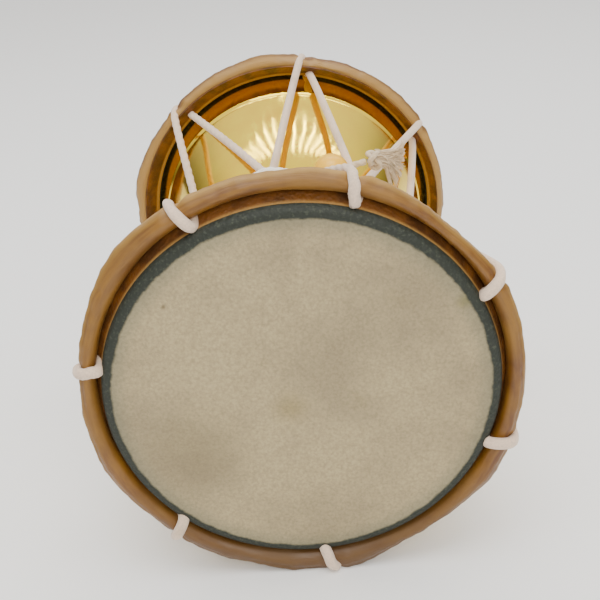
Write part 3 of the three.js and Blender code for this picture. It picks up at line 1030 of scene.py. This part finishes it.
def make_striker(sizes, colours, material):
    route = smooth_route([Vector(point) for point in STRIKER_ROUTE], 0.6 * MM)
    cord = lay_cord("striker_line", [route], sizes.cord_radius, 2, STRIKER_TWIST, CORD_SIDES, 0.08)
    finish_piece(cord, material, "striker_cord", math.radians(80))
    bead = make_bead(sizes, colours)
    strand = sizes.cord_radius * 0.85
    reach = KNOT_RADII - Vector((strand, strand, strand)) * 0.8
    knot = overhand(KNOT_CENTRE, reach, Matrix.Rotation(-BEAD_TILT, 3, "Y"))
    neck = [route[-1] + Vector((0.3 * MM, 0, 0.1 * MM)), KNOT_CENTRE]
    knotted = lay_cord("tassel", [knot, neck], strand, 2, STRIKER_TWIST, KNOT_SIDES, 0.1)
    tassel = join([knotted, make_fringe("fringe")])
    finish_piece(tassel, material, "striker_tassel", math.radians(80))


# Stage


def make_camera():
    back = Vector((
        math.sin(CAMERA_TURN) * math.cos(CAMERA_PITCH), -math.cos(CAMERA_TURN) * math.cos(CAMERA_PITCH),
        math.sin(CAMERA_PITCH),
    ))
    level = Vector((math.cos(CAMERA_TURN), math.sin(CAMERA_TURN), 0))
    upright = back.cross(level)
    right = level * math.cos(CAMERA_ROLL) + upright * math.sin(CAMERA_ROLL)
    up = upright * math.cos(CAMERA_ROLL) - level * math.sin(CAMERA_ROLL)
    place = CENTRE + back * CAMERA_DISTANCE + right * CAMERA_ASIDE + up * CAMERA_UP
    data = bpy.data.cameras.new("camera")
    data.lens = CAMERA_LENS
    data.clip_start = 0.02
    camera = bpy.data.objects.new("camera", data)
    bpy.context.scene.collection.objects.link(camera)
    turned = Matrix((right, up, back)).transposed().to_4x4()
    camera.matrix_world = Matrix.Translation(place) @ turned
    bpy.context.scene.camera = camera


def add_light(name, place, aim, size, power, colour=(1, 1, 1)):
    data = bpy.data.lights.new(name, "AREA")
    data.shape = "RECTANGLE"
    data.size, data.size_y = size
    data.energy = power
    data.color = colour
    light = bpy.data.objects.new(name, data)
    bpy.context.scene.collection.objects.link(light)
    place, aim = CENTRE + Vector(place), CENTRE + Vector(aim)
    turned = (place - aim).to_track_quat("Z", "Y").to_matrix().to_4x4()
    light.matrix_world = Matrix.Translation(place) @ turned


def make_lights():
    """A soft box overhead and one in front, and a bank of strips, under a sky darker towards the floor."""
    add_light("overhead", (0, -0.25, 1.1), (0, 0, 0), (0.9, 0.7), OVERHEAD_WATTS)
    add_light("front", (0.15, -0.95, 0.6), (0, 0, 0), (0.7, 0.5), FRONT_WATTS, (1, 0.97, 0.9))
    for i in range(STRIPS):
        x = (i / (STRIPS - 1) - STRIPS_SHIFT) * STRIPS_WIDTH
        add_light(f"strip_{i}", (x, 0.48, 0.9), (0, 0.05, 0), (0.016, 0.22), STRIP_WATTS)
    world = bpy.data.worlds.new("studio")
    world.use_nodes = True
    tree = world.node_tree
    direction = tree.nodes.new("ShaderNodeTexCoord")
    parts = tree.nodes.new("ShaderNodeSeparateXYZ")
    ramp = tree.nodes.new("ShaderNodeMapRange")
    ramp.interpolation_type = "SMOOTHSTEP"
    for key, number in (("From Min", -0.05), ("From Max", 0.75), ("To Min", SKY_LOW), ("To Max", SKY_HIGH)):
        ramp.inputs[key].default_value = number
    tree.links.new(direction.outputs["Generated"], parts.inputs[0])
    tree.links.new(parts.outputs["Z"], ramp.inputs["Value"])
    tree.links.new(ramp.outputs["Result"], tree.nodes["Background"].inputs["Strength"])
    tree.nodes["Background"].inputs["Color"].default_value = (1, 0.98, 0.95, 1)
    bpy.context.scene.world = world


def make_floor():
    deselect()
    bpy.ops.mesh.primitive_plane_add(size=8, location=(0, 0, 0))
    floor = bpy.context.active_object
    floor.name = floor.data.name = "floor"
    pale = Finish("pale_floor", 0.8)
    pale.colour(opaque((0.93, 0.93, 0.92)))
    floor.data.materials.append(pale.material)


# Operators, one for each piece or group of like pieces


class DAMARU_OT_stage(bpy.types.Operator):
    """Add the camera, the lights and a pale floor"""

    bl_idname = "damaru.stage"
    bl_label = "Stage"

    def execute(self, context):
        make_camera()
        make_lights()
        make_floor()
        return {"FINISHED"}


class DAMARU_OT_striker(bpy.types.Operator):
    """Add the striker: its cord, bead, knot and frayed end"""

    bl_idname = "damaru.striker"
    bl_label = "Striker"

    def execute(self, context):
        scene = context.scene
        material = cotton_material("cotton_cord", scene.damaru_colours.cord, 0.25)
        make_striker(scene.damaru_sizes, scene.damaru_colours, material)
        return {"FINISHED"}


class DAMARU_OT_lacing(bpy.types.Operator):
    """Add the lacing rope and the cord turned round it at the waist"""

    bl_idname = "damaru.lacing"
    bl_label = "Lacing"

    def execute(self, context):
        scene = context.scene
        make_lacing(scene.damaru_sizes, scene.damaru_colours)
        make_waist_cord(scene.damaru_sizes, bpy.data.materials["cotton_cord"])
        return {"FINISHED"}


class DAMARU_OT_shell(bpy.types.Operator):
    """Add the polished brass shell"""

    bl_idname = "damaru.shell"
    bl_label = "Shell"

    def execute(self, context):
        make_shell(context.scene.damaru_colours)
        return {"FINISHED"}


class DAMARU_OT_heads(bpy.types.Operator):
    """Add the two hide heads"""

    bl_idname = "damaru.heads"
    bl_label = "Heads"

    def execute(self, context):
        material = hide_material(context.scene.damaru_colours)
        for hoop in (FRONT_HOOP, BACK_HOOP):
            make_head(hoop, material)
        return {"FINISHED"}


class DAMARU_OT_hoops(bpy.types.Operator):
    """Add the two rolled hide hoops"""

    bl_idname = "damaru.hoops"
    bl_label = "Hoops"

    def execute(self, context):
        material = rolled_material(context.scene.damaru_colours)
        for hoop in (FRONT_HOOP, BACK_HOOP):
            make_hoop(hoop, material)
        return {"FINISHED"}


STEPS = (
    DAMARU_OT_stage, DAMARU_OT_striker, DAMARU_OT_lacing, DAMARU_OT_shell, DAMARU_OT_heads, DAMARU_OT_hoops,
)


class DAMARU_PT_panel(bpy.types.Panel):
    """The damaru's steps, in the 3D view's sidebar"""

    bl_idname = "DAMARU_PT_panel"
    bl_label = "Damaru"
    bl_space_type = "VIEW_3D"
    bl_region_type = "UI"
    bl_category = "Damaru"

    def draw(self, context):
        for settings in (context.scene.damaru_sizes, context.scene.damaru_colours):
            for name in settings.__annotations__:
                self.layout.prop(settings, name)
        for step in STEPS:
            self.layout.operator(step.bl_idname)


CLASSES = (DamaruSizes, DamaruColours, *STEPS, DAMARU_PT_panel)


def register():
    for each in CLASSES:
        bpy.utils.register_class(each)
    bpy.types.Scene.damaru_sizes = PointerProperty(type=DamaruSizes)
    bpy.types.Scene.damaru_colours = PointerProperty(type=DamaruColours)


def unregister():
    del bpy.types.Scene.damaru_colours
    del bpy.types.Scene.damaru_sizes
    for each in reversed(CLASSES):
        bpy.utils.unregister_class(each)


def main():
    register()
    for step in STEPS:
        group, name = step.bl_idname.split(".")
        getattr(getattr(bpy.ops, group), name)()


if __name__ == "__main__":
    main()
